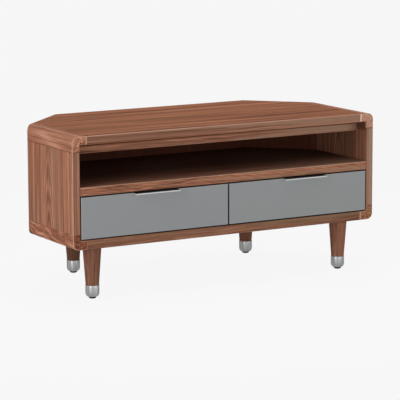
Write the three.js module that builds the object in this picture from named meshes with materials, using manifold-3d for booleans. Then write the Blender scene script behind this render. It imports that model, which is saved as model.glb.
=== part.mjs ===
// Corner television cabinet in walnut: an open compartment over two grey drawers, on
// four turned legs. The plan is a rectangle whose two rear corners are cut at 45 degrees.
// Millimetres, +Z up. The front faces -Y, and the origin is the middle of the bounding
// box at floor level.

import * as THREE from 'three';
import { mergeVertices } from 'three/addons/utils/BufferGeometryUtils.js';
import Module from 'manifold-3d';

const wasm = await Module();
wasm.setup();

// Outside of the cabinet
const overallWidth = 1100;
const overallHeight = 520;
const overallDepth = 510;
const cornerRun = 192; // how far each cut rear corner reaches along the side and the back
const legHeight = 168;

// Boards of the carcass
const topThickness = 27;
const bottomThickness = 29;
const sideThickness = 26;
const shelfThickness = 27;
const drawerBayHeight = 138;
const dividerThickness = 18;
const dividerSetback = 22;
const railSetback = 58;
const railHeight = 35;
const railThickness = 18;
const backThickness = 18;
const backInset = 12; // the back panels stand this far inside the rear edges
const arris = 2; // the small flat that softens every front edge
const housingDepth = 6; // the shelf is let this far into the sides, the divider into its boards
const housingStop = 18; // the shelf's housings stop this far behind the front
const railTongueThickness = 6;
const railTongueHeight = 8;
const railTongueInset = 60; // from each end of the rail

// Corner mouldings, their tongues and the pale lippings beside them
const mouldingAcross = 46;
const mouldingDown = 48;
const mouldingRadius = 20;
const tongueThickness = 6;
const tongueLength = 12;
const tongueRoot = 4; // how far a tongue starts inside its moulding
const tongueStop = 18; // the tongues end this far short of front and rear
const lippingWidth = 4;

// Notch for cables in the upper edge of the centre back
const cableNotchWidth = 120;
const cableNotchHeight = 30;
const cableNotchRadius = 10;

// Legs, ferrules and glides
const frontLegInset = 95;
const frontLegSetback = 63;
const rearLegInset = 28; // from the end of the straight back edge
const rearLegSetback = 62;
const legTopRadius = 30;
const legShoulderRadius = 21;
const legArris = 1;
const legTenonRadius = 15;
const legTenonHeight = 20;
const ferruleRadius = 22;
const ferruleWall = 1.7;
const ferruleHeight = 37;
const ferruleRound = 14; // height of the rounded lower end
const ferruleFloor = 2;
const glideRadius = 11;
const glideHeight = 6;
const glideRound = 2;
const glideStemRadius = 4.5;
const glideStemHeight = 20;

// Drawer fronts and pulls
const frontThickness = 19;
const frontSideGap = 3;
const frontMiddleGap = 3;
const frontTopGap = 4;
const frontBottomGap = 3;
const frontArris = 1.2;
const pullLength = 157;
const pullReach = 17.5; // how far the pull stands out of the front
const pullThickness = 2;
const pullLipHeight = 4.5;
const rightPullShift = 20; // the right-hand pull sits this far outwards of its middle

// Drawer boxes, tongued into their fronts
const boxRearGap = 40; // from the outer rear corner of a box to the diagonal back
const boxHeight = 100;
const boxLift = 12; // box above the bottom board
const boxThickness = 12;
const boxBackDrop = 8; // the box back is lower than the sides
const boxBottomThickness = 5;
const boxBottomRise = 10;
const boxGroove = 6;
const boxTongueThickness = 5;
const frontTongueLength = 10;

// Telescopic slides: a lipped channel, a smaller one inside it and a hat section inside that
const slideRearGap = 3; // from the end of a slide to the end of the box
const slideHeight = 35;
const slideThickness = 12.7;
const slideMouth = 10.2; // depth of the outer channel
const slideSteel = 1.2;
const slideLip = 1.1;
const slideClearance = 0.4;

// Fits and fineness
const seat = 0.3; // clearance between pieces that touch on the real cabinet
const overrun = 10; // how far cutting tools reach past what they cut
const mouldingSegments = 10;
const turnedSegments = 32;
const roundEndSegments = 5;
const boredSegments = 16;

// Places on the carcass
const halfWidth = overallWidth / 2;
const halfInside = halfWidth - sideThickness;
const halfBack = halfWidth - cornerRun;
const sideDepth = overallDepth - cornerRun;
const boardEnd = halfWidth - mouldingAcross - lippingWidth - 2 * seat;
const tongueEnd = sideDepth - tongueStop;
const bayFloor = legHeight + bottomThickness;
const shelfUnderside = bayFloor + drawerBayHeight;
const shelfTop = shelfUnderside + shelfThickness;
const topUnderside = overallHeight - topThickness;
const backReach = backInset + backThickness;

// Places on the legs
const ferruleTop = glideHeight + ferruleHeight;
const ferruleBore = ferruleRadius - ferruleWall;
const glideTop = glideHeight + glideStemHeight;
const stemHoleRadius = glideStemRadius + seat;
const legPlaces = {
  front_left: [-(halfWidth - frontLegInset), frontLegSetback],
  front_right: [halfWidth - frontLegInset, frontLegSetback],
  rear_left: [-(halfBack - rearLegInset), overallDepth - rearLegSetback],
  rear_right: [halfBack - rearLegInset, overallDepth - rearLegSetback],
};

// Places in a drawer bay, with X measured from the middle of the bay
const bayWidth = halfInside - dividerThickness / 2;
const bayCentre = dividerThickness / 2 + bayWidth / 2;
const frontWidth = halfInside - frontSideGap - frontMiddleGap / 2;
const frontShift = frontMiddleGap / 2 + frontWidth / 2 - bayCentre;
const frontBase = bayFloor + frontBottomGap;
const frontTop = shelfUnderside - frontTopGap;
const boxHalf = bayWidth / 2 - slideThickness - 2 * seat;
const boxInnerHalf = boxHalf - boxThickness;
const boxFront = frontThickness + seat;
const boxRear = cutCornerY(bayCentre + boxHalf, backReach) - boxRearGap;
const boxFloor = bayFloor + boxLift;
const boxTop = boxFloor + boxHeight;
const boxBottomBase = boxFloor + boxBottomRise;
const boxBottomTop = boxBottomBase + boxBottomThickness;
const boxBottomHalf = boxInnerHalf + boxGroove - seat;
const slideLevel = boxFloor + boxHeight / 2;
const slideRear = boxRear - slideRearGap;

const walnut = { color: 0x8f6249, roughness: 0.5, metalness: 0 };
const mouldingWalnut = { color: 0xa37459, roughness: 0.5, metalness: 0 };
const maple = { color: 0xd9b79b, roughness: 0.55, metalness: 0 };
const birch = { color: 0xcdb48c, roughness: 0.6, metalness: 0 };
const greyLacquer = { color: 0x878989, roughness: 0.55, metalness: 0 };
const aluminium = { color: 0xc4c5c6, roughness: 0.35, metalness: 0.9 };
const zincSteel = { color: 0x9b9d9e, roughness: 0.4, metalness: 0.9 };
const blackNylon = { color: 0x141414, roughness: 0.6, metalness: 0 };

function piece(name, geometry, finish) {
  const mesh = new THREE.Mesh(geometry, new THREE.MeshStandardMaterial(finish));
  mesh.name = name;
  return mesh;
}

// Shapes

function shapeOf(points) {
  return new THREE.Shape(points.map(([across, up]) => new THREE.Vector2(across, up)));
}

// A box between pairs of limits. The two limits of a pair may come in either order.
function block([xa, xb], [ya, yb], [za, zb]) {
  const geometry = new THREE.BoxGeometry(Math.abs(xb - xa), Math.abs(yb - ya), Math.abs(zb - za));
  return geometry.translate((xa + xb) / 2, (ya + yb) / 2, (za + zb) / 2);
}

// A plan outline in X and Y, raised along Z.
function raisePlan(outline, base, top) {
  const geometry = new THREE.ExtrudeGeometry(shapeOf(outline), { depth: top - base, bevelEnabled: false });
  return geometry.translate(0, 0, base);
}

// A section in X and Z, run along Y, with a flat of the given size round both ends.
function runSection(section, front, rear, flat) {
  const geometry = new THREE.ExtrudeGeometry(shapeOf(section), {
    depth: rear - front - 2 * flat,
    bevelEnabled: flat > 0,
    bevelThickness: flat,
    bevelSize: flat,
    bevelOffset: -flat,
    bevelSegments: 1,
  });
  return geometry.translate(0, 0, flat).rotateX(Math.PI / 2).translate(0, rear, 0);
}

// A section in Y and Z, run along X to both sides of the given place.
function runAcross(section, middle, length) {
  const geometry = new THREE.ExtrudeGeometry(shapeOf(section), { depth: length, bevelEnabled: false });
  const ontoX = new THREE.Matrix4().makeBasis(
    new THREE.Vector3(0, 1, 0),
    new THREE.Vector3(0, 0, 1),
    new THREE.Vector3(1, 0, 0),
  );
  return geometry.applyMatrix4(ontoX).translate(middle - length / 2, 0, 0);
}

// A turned piece about Z. The profile lists radius and height, upwards on the outside.
function turn(profile, segments) {
  const points = profile.map(([radius, height]) => new THREE.Vector2(radius, height));
  return new THREE.LatheGeometry(points, segments).rotateX(Math.PI / 2);
}

// Cutting and joining

function solidOf(geometry) {
  const bare = geometry.clone();
  bare.deleteAttribute('normal');
  bare.deleteAttribute('uv');
  const merged = mergeVertices(bare);
  return new wasm.Manifold(new wasm.Mesh({
    numProp: 3,
    vertProperties: merged.attributes.position.array,
    triVerts: new Uint32Array(merged.index.array),
  }));
}

// The first geometry less every cut, and then with every addition.
function work(geometry, cuts, additions = []) {
  let solid = solidOf(geometry);
  for (const cut of cuts) {
    solid = solid.subtract(solidOf(cut));
  }
  for (const addition of additions) {
    solid = solid.add(solidOf(addition));
  }
  const mesh = solid.getMesh();
  const worked = new THREE.BufferGeometry();
  worked.setAttribute('position', new THREE.BufferAttribute(mesh.vertProperties, mesh.numProp));
  worked.setIndex(new THREE.BufferAttribute(mesh.triVerts, 1));
  return worked;
}

// y of a line parallel to the cut rear corner, at x, the given distance inside it.
function cutCornerY(x, inside) {
  return sideDepth + halfWidth - inside * Math.SQRT2 - x;
}

// x where that line meets the line parallel to the back edge, the same distance inside.
function backCornerX(inside) {
  return halfBack + inside - inside * Math.SQRT2;
}

function cornerCutter(side) {
  const outline = [
    [side * (halfWidth + overrun), sideDepth - overrun],
    [side * (halfWidth + overrun), overallDepth + overrun],
    [side * (halfBack - overrun), overallDepth + overrun],
  ];
  return raisePlan(outline, -overrun, overallHeight + overrun);
}

// A bar laid along a front edge that takes its sharp corner off.
function edgeSoftener(level) {
  const width = arris * Math.SQRT2;
  const bar = new THREE.BoxGeometry(overallWidth + overrun, width, width);
  return bar.rotateX(Math.PI / 4).translate(0, 0, level);
}

// The slot for a tongue in the end of a lying board, open past the given end.
function endSlot(side, end, base, top) {
  const level = (base + top) / 2;
  const half = tongueThickness / 2 + seat;
  const tip = halfWidth - mouldingAcross - tongueLength - seat;
  return block(
    [side * tip, side * (end + overrun)],
    [tongueStop - seat, tongueEnd + seat],
    [level - half, level + half],
  );
}

// Carcass

// Top and bottom boards: the plan between the lippings, front edges softened, ends slotted.
function lyingBoard(base, top, sockets) {
  const outline = [
    [-boardEnd, 0],
    [boardEnd, 0],
    [boardEnd, cutCornerY(boardEnd, 0)],
    [halfBack, overallDepth],
    [-halfBack, overallDepth],
    [-boardEnd, cutCornerY(boardEnd, 0)],
  ];
  return work(raisePlan(outline, base, top), [
    edgeSoftener(base),
    edgeSoftener(top),
    endSlot(-1, boardEnd, base, top),
    endSlot(1, boardEnd, base, top),
    ...sockets,
  ]);
}

// A pale strip closes each board end. The tongue passes through it.
function lipping(side, base, top) {
  const inner = boardEnd + seat;
  const outer = inner + lippingWidth;
  return work(block([side * inner, side * outer], [0, overallDepth], [base, top]), [
    cornerCutter(side),
    edgeSoftener(base),
    edgeSoftener(top),
    endSlot(side, outer, base, top),
  ]);
}

// An L-shaped moulding, round outside and square inside, with a stopped tongue on each arm.
// side is -1 for left and 1 for right; level is -1 for bottom and 1 for top. Its section is
// drawn by the distance in from the side face and the distance in from the top or bottom face.
function cornerMoulding(side, level) {
  const boardThickness = level > 0 ? topThickness : bottomThickness;
  const outerZ = level > 0 ? overallHeight : legHeight;
  const place = (inX, inZ) => [side * (halfWidth - inX), outerZ - level * inZ];
  const placedBlock = ([xa, xb], ys, [za, zb]) => {
    const near = place(xa, za);
    const far = place(xb, zb);
    return block([near[0], far[0]], ys, [near[1], far[1]]);
  };
  const section = [];
  for (let step = 0; step <= mouldingSegments; step += 1) {
    const angle = (Math.PI / 2) * (step / mouldingSegments);
    const inX = mouldingRadius * (1 - Math.sin(angle));
    const inZ = mouldingRadius * (1 - Math.cos(angle));
    section.push(place(inX, inZ));
  }
  section.push(place(0, mouldingDown + overrun));
  section.push(place(sideThickness, mouldingDown + overrun));
  section.push(place(sideThickness, boardThickness));
  section.push(place(mouldingAcross + overrun, boardThickness));
  section.push(place(mouldingAcross + overrun, 0));

  const pastEnds = [-overrun, overallDepth + overrun];
  const pastBoard = [-overrun, boardThickness + overrun];
  const pastSide = [-overrun, sideThickness + overrun];
  const trims = [
    placedBlock([mouldingAcross, mouldingAcross + 2 * overrun], pastEnds, pastBoard),
    placedBlock(pastSide, pastEnds, [mouldingDown, mouldingDown + 2 * overrun]),
    cornerCutter(side),
  ];
  const tongueRun = [tongueStop, tongueEnd];
  const acrossBoard = [(boardThickness - tongueThickness) / 2, (boardThickness + tongueThickness) / 2];
  const acrossSide = [(sideThickness - tongueThickness) / 2, (sideThickness + tongueThickness) / 2];
  const tongues = [
    placedBlock([mouldingAcross - tongueRoot, mouldingAcross + tongueLength], tongueRun, acrossBoard),
    placedBlock(acrossSide, tongueRun, [mouldingDown - tongueRoot, mouldingDown + tongueLength]),
  ];
  return work(runSection(section, 0, overallDepth, arris), trims, tongues);
}

// A side panel stands between two mouldings and takes the end of the shelf in a stopped
// housing. Its rear end follows the cut corner.
function sidePanel(side) {
  const outline = [
    [side * halfInside, arris],
    [side * (halfInside + arris), 0],
    [side * (halfWidth - arris), 0],
    [side * halfWidth, arris],
    [side * halfWidth, sideDepth],
    [side * halfInside, cutCornerY(halfInside, 0)],
  ];
  const base = legHeight + mouldingDown + seat;
  const top = overallHeight - mouldingDown - seat;
  const middle = side * (halfWidth - sideThickness / 2);
  const half = tongueThickness / 2 + seat;
  const slotAcross = [middle - half, middle + half];
  const slotRun = [tongueStop - seat, tongueEnd + seat];
  const shelfHousing = block(
    [side * (halfInside - overrun), side * (halfInside + housingDepth)],
    [housingStop - seat, cutCornerY(halfInside, backReach)],
    [shelfUnderside - seat, shelfTop + seat],
  );
  return work(raisePlan(outline, base, top), [
    block(slotAcross, slotRun, [base - overrun, base + tongueLength]),
    block(slotAcross, slotRun, [top - tongueLength, top + overrun]),
    shelfHousing,
  ]);
}

// The groove that takes the divider's lower or upper edge, between two heights.
function dividerHousing(base, top) {
  const half = dividerThickness / 2 + seat;
  return block([-half, half], [dividerSetback - seat, overallDepth - backReach], [base, top]);
}

function shelfBoard() {
  const inside = backReach + seat;
  const end = halfInside - seat;
  const housedEnd = end + housingDepth;
  const outline = [
    [-end, 0],
    [end, 0],
    [end, housingStop],
    [housedEnd, housingStop],
    [housedEnd, cutCornerY(housedEnd, inside)],
    [backCornerX(inside), overallDepth - inside],
    [-backCornerX(inside), overallDepth - inside],
    [-housedEnd, cutCornerY(housedEnd, inside)],
    [-housedEnd, housingStop],
    [-end, housingStop],
  ];
  return work(raisePlan(outline, shelfUnderside, shelfTop), [
    edgeSoftener(shelfUnderside),
    edgeSoftener(shelfTop),
    dividerHousing(shelfUnderside - overrun, shelfUnderside + housingDepth),
  ]);
}

function divider() {
  const half = dividerThickness / 2;
  return block(
    [-half, half],
    [dividerSetback, overallDepth - backReach - seat],
    [bayFloor - housingDepth + seat, shelfUnderside + housingDepth - seat],
  );
}

// The rail under the top board, with a tongue that enters the board. The same tongue with
// clearance all round makes its groove.
function railTongue(clearance) {
  const half = halfInside - railTongueInset + clearance;
  const middle = railSetback + railThickness / 2;
  const halfThickness = railTongueThickness / 2 + clearance;
  return block(
    [-half, half],
    [middle - halfThickness, middle + halfThickness],
    [topUnderside - railHeight / 2, topUnderside + railTongueHeight + clearance],
  );
}

function topRail() {
  const end = halfInside - seat;
  const level = [topUnderside - railHeight, topUnderside - seat];
  const rail = block([-end, end], [railSetback, railSetback + railThickness], level);
  return work(rail, [], [railTongue(0)]);
}

// A notch with round lower corners, open at the top and run through the centre back.
function cableNotch() {
  const half = cableNotchWidth / 2;
  const base = topUnderside - cableNotchHeight;
  const section = [[half, topUnderside + overrun], [-half, topUnderside + overrun]];
  for (const side of [-1, 1]) {
    for (let step = 0; step <= roundEndSegments; step += 1) {
      const turned = side < 0 ? step : roundEndSegments - step;
      const angle = (Math.PI / 2) * (turned / roundEndSegments);
      const inX = cableNotchRadius * (1 - Math.cos(angle));
      const inZ = cableNotchRadius * (1 - Math.sin(angle));
      section.push([side * (half - inX), base + inZ]);
    }
  }
  return runSection(section, overallDepth - backReach - overrun, overallDepth - backInset + overrun, 0);
}

function centreBack() {
  const outline = [
    [-backCornerX(backReach) + seat, overallDepth - backReach],
    [backCornerX(backReach) - seat, overallDepth - backReach],
    [backCornerX(backInset) - seat, overallDepth - backInset],
    [-backCornerX(backInset) + seat, overallDepth - backInset],
  ];
  return work(raisePlan(outline, bayFloor + seat, topUnderside - seat), [cableNotch()]);
}

function diagonalBack(side) {
  const end = halfInside - seat;
  const outline = [
    [side * backCornerX(backReach), overallDepth - backReach],
    [side * end, cutCornerY(end, backReach)],
    [side * end, cutCornerY(end, backInset)],
    [side * backCornerX(backInset), overallDepth - backInset],
  ];
  return raisePlan(outline, bayFloor + seat, topUnderside - seat);
}

// Legs

// A tapered leg. A round tenon on top enters the bottom board, and the turned-down lower end
// enters the ferrule and takes the stem of the glide.
function legProfile() {
  const shoulder = legHeight - seat;
  const spigotBase = glideHeight + ferruleFloor + seat;
  return [
    [0, glideTop + seat],
    [stemHoleRadius, glideTop + seat],
    [stemHoleRadius, spigotBase],
    [glideRadius - seat, spigotBase],
    [ferruleBore - seat, glideHeight + ferruleRound + seat],
    [ferruleBore - seat, ferruleTop + seat],
    [legShoulderRadius, ferruleTop + seat],
    [legTopRadius, shoulder - legArris],
    [legTopRadius - legArris, shoulder],
    [legTenonRadius, shoulder],
    [legTenonRadius, legHeight + legTenonHeight - legArris],
    [legTenonRadius - legArris, legHeight + legTenonHeight],
    [0, legHeight + legTenonHeight],
  ];
}

function legMortises() {
  const profile = [
    [0, legHeight - overrun],
    [legTenonRadius + seat, legHeight - overrun],
    [legTenonRadius + seat, legHeight + legTenonHeight + seat],
    [0, legHeight + legTenonHeight + seat],
  ];
  return Object.values(legPlaces).map(([x, y]) => turn(profile, turnedSegments).translate(x, y, 0));
}

// The ferrule is a cup with a straight wall, a rounded lower end and a hole for the glide.
function ferruleProfile() {
  const profile = [[stemHoleRadius, glideHeight + ferruleFloor]];
  profile.push([stemHoleRadius, glideHeight]);
  for (let step = 0; step <= roundEndSegments; step += 1) {
    const angle = (Math.PI / 2) * (step / roundEndSegments);
    const radius = glideRadius + (ferruleRadius - glideRadius) * Math.sin(angle);
    profile.push([radius, glideHeight + ferruleRound * (1 - Math.cos(angle))]);
  }
  profile.push([ferruleRadius, ferruleTop]);
  profile.push([ferruleBore, ferruleTop]);
  profile.push([ferruleBore, glideHeight + ferruleRound]);
  profile.push([glideRadius, glideHeight + ferruleFloor]);
  profile.push([stemHoleRadius, glideHeight + ferruleFloor]);
  return profile;
}

function glideProfile() {
  const top = glideHeight - seat;
  return [
    [0, 0],
    [glideRadius - glideRound, 0],
    [glideRadius, glideRound],
    [glideRadius, top],
    [glideStemRadius, top],
    [glideStemRadius, glideTop],
    [0, glideTop],
  ];
}

function foot(name, [x, y]) {
  const group = new THREE.Group();
  group.add(piece(`${name}_leg`, turn(legProfile(), turnedSegments), walnut));
  group.add(piece(`${name}_ferrule`, turn(ferruleProfile(), turnedSegments), aluminium));
  group.add(piece(`${name}_glide`, turn(glideProfile(), turnedSegments), blackNylon));
  group.position.set(x, y, 0);
  return group;
}

// Slides. Sections are drawn with X leading away from the wall and Z from the slide's middle.

const middleBack = slideSteel + slideClearance;
const middleHalf = slideHeight / 2 - slideSteel - slideClearance;
const runnerBack = middleBack + slideSteel + slideClearance;
const runnerFootHalf = middleHalf - slideSteel - slideClearance;
const runnerNeckHalf = runnerFootHalf - slideLip;

function lippedChannel(back, mouth, half) {
  const web = back + slideSteel;
  const lipBack = mouth - slideSteel;
  const hollow = half - slideSteel;
  const lip = hollow - slideLip;
  const upper = [
    [web, hollow], [lipBack, hollow], [lipBack, lip], [mouth, lip], [mouth, half], [back, half],
  ];
  const lower = upper.map(([x, z]) => [x, -z]).reverse();
  return [...lower, ...upper];
}

function hatChannel() {
  const footTop = runnerBack + slideSteel;
  const web = slideThickness - slideSteel;
  const hollow = runnerNeckHalf - slideSteel;
  const upper = [
    [slideThickness, runnerNeckHalf], [footTop, runnerNeckHalf], [footTop, runnerFootHalf],
    [runnerBack, runnerFootHalf], [runnerBack, hollow], [web, hollow],
  ];
  const lower = upper.map(([x, z]) => [x, -z]).reverse();
  return [...lower, ...upper];
}

const slideSections = {
  rail: lippedChannel(0, slideMouth, slideHeight / 2),
  middle: lippedChannel(middleBack, slideMouth - slideSteel - slideClearance, middleHalf),
  runner: hatChannel(),
};

// A member of the slide on the wall at the end of the bay, -1 for left and 1 for right.
function slideMember(member, end) {
  const section = slideSections[member].map(([x, z]) => [end * (bayWidth / 2 - seat - x), slideLevel + z]);
  return runSection(section, dividerSetback, slideRear, 0);
}

// Drawers

// Lacquered front: softened edges, a notch for the pull, and grooves in the rear face for the
// box sides and the box bottom.
function drawerFront(frontX, pullX) {
  const left = frontX - frontWidth / 2;
  const right = frontX + frontWidth / 2;
  const face = [[left, frontBase], [right, frontBase], [right, frontTop], [left, frontTop]];
  const notchHalf = pullLength / 2 + seat;
  const notch = block(
    [pullX - notchHalf, pullX + notchHalf],
    [-overrun, frontThickness + overrun],
    [frontTop - pullThickness - seat, frontTop + overrun],
  );
  const bottomGroove = block(
    [-boxBottomHalf - seat, boxBottomHalf + seat],
    [frontThickness - boxGroove, frontThickness + overrun],
    [boxBottomBase - seat, boxBottomTop + seat],
  );
  const sideGrooves = [-1, 1].map((end) => block(
    [end * (boxHalf + seat), end * (boxHalf - boxTongueThickness - seat)],
    [frontThickness - frontTongueLength, frontThickness + overrun],
    [boxFloor - seat, boxTop + seat],
  ));
  return work(runSection(face, 0, frontThickness, frontArris), [notch, bottomGroove, ...sideGrooves]);
}

// Edge pull: a plate let into the top edge of the front and turned down at its lip.
function drawerPull(pullX) {
  const section = [
    [-pullReach, frontTop - pullLipHeight],
    [-pullReach + pullThickness, frontTop - pullLipHeight],
    [-pullReach + pullThickness, frontTop - pullThickness],
    [frontThickness, frontTop - pullThickness],
    [frontThickness, frontTop],
    [-pullReach, frontTop],
  ];
  return runAcross(section, pullX, pullLength);
}

// A box side with a tongue for the front and grooves for the box bottom and the box back.
function boxSide(end) {
  const groove = [end * (boxInnerHalf - overrun), end * (boxInnerHalf + boxGroove)];
  const board = block([end * boxInnerHalf, end * boxHalf], [boxFront, boxRear], [boxFloor, boxTop]);
  const bottomGroove = block(
    groove,
    [-overrun, boxRear + overrun],
    [boxBottomBase - seat, boxBottomTop + seat],
  );
  const backGroove = block(
    groove,
    [boxRear - boxThickness - seat, boxRear - boxThickness + boxTongueThickness + seat],
    [boxBottomTop, boxTop + overrun],
  );
  const tongue = block(
    [end * boxHalf, end * (boxHalf - boxTongueThickness)],
    [boxFront - frontTongueLength, boxFront + boxTongueThickness],
    [boxFloor, boxTop],
  );
  return work(board, [bottomGroove, backGroove], [tongue]);
}

function boxBack() {
  const level = [boxBottomTop + seat, boxTop - boxBackDrop];
  const bodyHalf = boxInnerHalf - seat;
  const tongueHalf = boxInnerHalf + boxGroove - seat;
  const body = block([-bodyHalf, bodyHalf], [boxRear - boxThickness, boxRear], level);
  const tongueBoard = block(
    [-tongueHalf, tongueHalf],
    [boxRear - boxThickness, boxRear - boxThickness + boxTongueThickness],
    level,
  );
  return work(body, [], [tongueBoard]);
}

function boxBottom() {
  return block(
    [-boxBottomHalf, boxBottomHalf],
    [frontThickness - boxGroove + seat, boxRear],
    [boxBottomBase, boxBottomTop],
  );
}

// One drawer and the slides on both walls of its bay. side is -1 for left and 1 for right.
function drawer(name, side, pullShift) {
  const group = new THREE.Group();
  const frontX = side * frontShift;
  const pullX = frontX + side * pullShift;
  group.add(piece(`${name}_drawer_front`, drawerFront(frontX, pullX), greyLacquer));
  group.add(piece(`${name}_drawer_pull`, drawerPull(pullX), aluminium));
  group.add(piece(`${name}_drawer_back`, boxBack(), birch));
  group.add(piece(`${name}_drawer_bottom`, boxBottom(), birch));
  for (const [endName, end] of [['outer', side], ['inner', -side]]) {
    group.add(piece(`${name}_drawer_${endName}_side`, boxSide(end), birch));
    for (const member of Object.keys(slideSections)) {
      group.add(piece(`${name}_${endName}_slide_${member}`, slideMember(member, end), zincSteel));
    }
  }
  group.position.x = side * bayCentre;
  return group;
}

// Assembly, drawn with the front face at y = 0 and then centred on the bounding box
const cabinet = new THREE.Group();
cabinet.position.y = -(overallDepth - pullReach) / 2;

const topSockets = [railTongue(seat)];
const bottomSockets = [...legMortises(), dividerHousing(bayFloor - housingDepth, bayFloor + overrun)];
cabinet.add(piece('top_board', lyingBoard(topUnderside, overallHeight, topSockets), walnut));
cabinet.add(piece('bottom_board', lyingBoard(legHeight, bayFloor, bottomSockets), walnut));
for (const [sideName, side] of [['left', -1], ['right', 1]]) {
  cabinet.add(piece(`${sideName}_side_panel`, sidePanel(side), walnut));
  cabinet.add(piece(`top_${sideName}_moulding`, cornerMoulding(side, 1), mouldingWalnut));
  cabinet.add(piece(`bottom_${sideName}_moulding`, cornerMoulding(side, -1), mouldingWalnut));
  cabinet.add(piece(`top_${sideName}_lipping`, lipping(side, topUnderside, overallHeight), maple));
  cabinet.add(piece(`bottom_${sideName}_lipping`, lipping(side, legHeight, bayFloor), maple));
  cabinet.add(piece(`${sideName}_diagonal_back`, diagonalBack(side), walnut));
}
cabinet.add(piece('centre_back', centreBack(), walnut));
cabinet.add(piece('top_rail', topRail(), walnut));
cabinet.add(piece('shelf', shelfBoard(), walnut));
cabinet.add(piece('divider', divider(), walnut));
for (const [name, place] of Object.entries(legPlaces)) {
  cabinet.add(foot(name, place));
}
cabinet.add(drawer('left', -1, 0));
cabinet.add(drawer('right', 1, rightPullShift));

export default cabinet;
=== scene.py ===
# %% [markdown]
# This lesson dresses a walnut corner cabinet for a television. Its solids come from the CAD
# frame in metres and stay where they are. We give them finishes, and we build by hand the
# pieces whose curves and soft edges the plain solids only roughly show.

import math

import bmesh
import bpy
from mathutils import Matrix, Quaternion, Vector


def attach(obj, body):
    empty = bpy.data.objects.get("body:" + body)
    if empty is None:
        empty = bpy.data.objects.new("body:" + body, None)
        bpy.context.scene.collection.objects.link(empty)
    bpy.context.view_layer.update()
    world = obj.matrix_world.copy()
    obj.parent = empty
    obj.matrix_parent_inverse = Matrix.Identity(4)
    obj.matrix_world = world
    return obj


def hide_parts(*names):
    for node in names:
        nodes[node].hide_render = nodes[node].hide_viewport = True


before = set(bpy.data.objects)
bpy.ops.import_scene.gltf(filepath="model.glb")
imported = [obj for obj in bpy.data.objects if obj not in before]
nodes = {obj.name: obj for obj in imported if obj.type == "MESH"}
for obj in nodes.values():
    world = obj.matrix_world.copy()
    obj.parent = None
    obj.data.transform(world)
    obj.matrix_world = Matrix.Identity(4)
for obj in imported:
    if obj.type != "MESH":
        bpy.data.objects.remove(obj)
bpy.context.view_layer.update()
bpy.ops.object.select_all(action="DESELECT")
MM = 0.001
print("the frame holds", len(nodes), "nodes")

# %% [markdown]
# The photograph was taken from the front left and a little above, with a long lens from about
# seven metres. We write the camera down as a direction, a distance and the point that it aims
# at. A long lens keeps the edges of the top almost parallel, so the distance matters as much
# as the angle.

# %% The camera
FOCAL_LENGTH_PIXELS = 2174.46
PICTURE_PIXELS = 400
SENSOR_WIDTH = 36.0
CLIP_DISTANCE = 60.0
CAMERA_TURN = math.radians(29.63)
CAMERA_TILT = math.radians(9.77)
CAMERA_ROLL = math.radians(-0.19)
CAMERA_DISTANCE = 7.0173
AIM_POINT = Vector((-0.01905, -0.09625, 0.2586))

looking = Vector((
    math.sin(CAMERA_TURN) * math.cos(CAMERA_TILT),
    math.cos(CAMERA_TURN) * math.cos(CAMERA_TILT),
    -math.sin(CAMERA_TILT),
))
camera_data = bpy.data.cameras.new("photograph_camera")
camera_data.sensor_width = SENSOR_WIDTH
camera_data.lens = FOCAL_LENGTH_PIXELS / PICTURE_PIXELS * SENSOR_WIDTH
camera_data.clip_end = CLIP_DISTANCE
camera = bpy.data.objects.new("photograph_camera", camera_data)
bpy.context.scene.collection.objects.link(camera)
camera.location = AIM_POINT - looking * CAMERA_DISTANCE
camera.rotation_mode = "QUATERNION"
level_view = looking.to_track_quat("-Z", "Y")
camera.rotation_quaternion = level_view @ Quaternion((0, 0, 1), CAMERA_ROLL)
bpy.context.scene.camera = camera
print("lens", round(camera_data.lens, 1), "mm")

# %% [markdown]
# A studio sweep is a pale floor under large soft lamps. What the camera sees of it is an even
# pale grey that stands in the material itself, so no lamp has to burn the floor white. Close to
# the cabinet a small share of the floor is real paint, and that share carries the shadow. The
# paint is a little darker than the glow, so the glow is lifted there to keep the grey even.

# %% Helpers for node trees
scene = bpy.context.scene
scene.view_settings.view_transform = "Standard"


def feed(tree, node, values):
    """Fills inputs. A value is a number, a colour, or the socket that feeds the input."""
    for socket, value in values.items():
        if isinstance(value, bpy.types.NodeSocket):
            tree.links.new(value, node.inputs[socket])
        else:
            node.inputs[socket].default_value = value


def add_node(tree, kind, values=None, **settings):
    node = tree.nodes.new(kind)
    for name, setting in settings.items():
        setattr(node, name, setting)
    feed(tree, node, values or {})
    return node


def math_node(tree, operation, first, second=0.0, third=0.0, clamp=False):
    values = {0: first, 1: second, 2: third}
    node = add_node(tree, "ShaderNodeMath", values, operation=operation, use_clamp=clamp)
    return node.outputs[0]


def times(tree, *factors):
    product = factors[0]
    for factor in factors[1:]:
        product = math_node(tree, "MULTIPLY", product, factor)
    return product


def vector_math(tree, operation, values, output="Vector"):
    return add_node(tree, "ShaderNodeVectorMath", values, operation=operation).outputs[output]


def fade(tree, value, start, end):
    """0 at start, 1 at end, and smooth between them."""
    values = {"Value": value, "From Min": start, "From Max": end}
    node = add_node(tree, "ShaderNodeMapRange", values, interpolation_type="SMOOTHSTEP")
    return node.outputs["Result"]


print("colours are shown by the", scene.view_settings.view_transform, "view")

# %% Floor and world
BACKGROUND = (0.924, 0.924, 0.924, 1.0)
FLOOR_PAINT = (0.88, 0.88, 0.88, 1.0)
WHITE = (1.0, 1.0, 1.0, 1.0)
FLOOR_SIZE = 60.0
SHADOW_FULL, SHADOW_GONE = 0.7, 2.2
SHADOW_SHARE = 0.05
LIFT = 0.03
WORLD_STRENGTH = 0.1


def seen_directly(tree):
    rays = add_node(tree, "ShaderNodeLightPath").outputs
    mirrored = math_node(tree, "MAXIMUM", rays["Is Glossy Ray"], rays["Is Transmission Ray"])
    return math_node(tree, "MAXIMUM", rays["Is Camera Ray"], mirrored)


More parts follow.
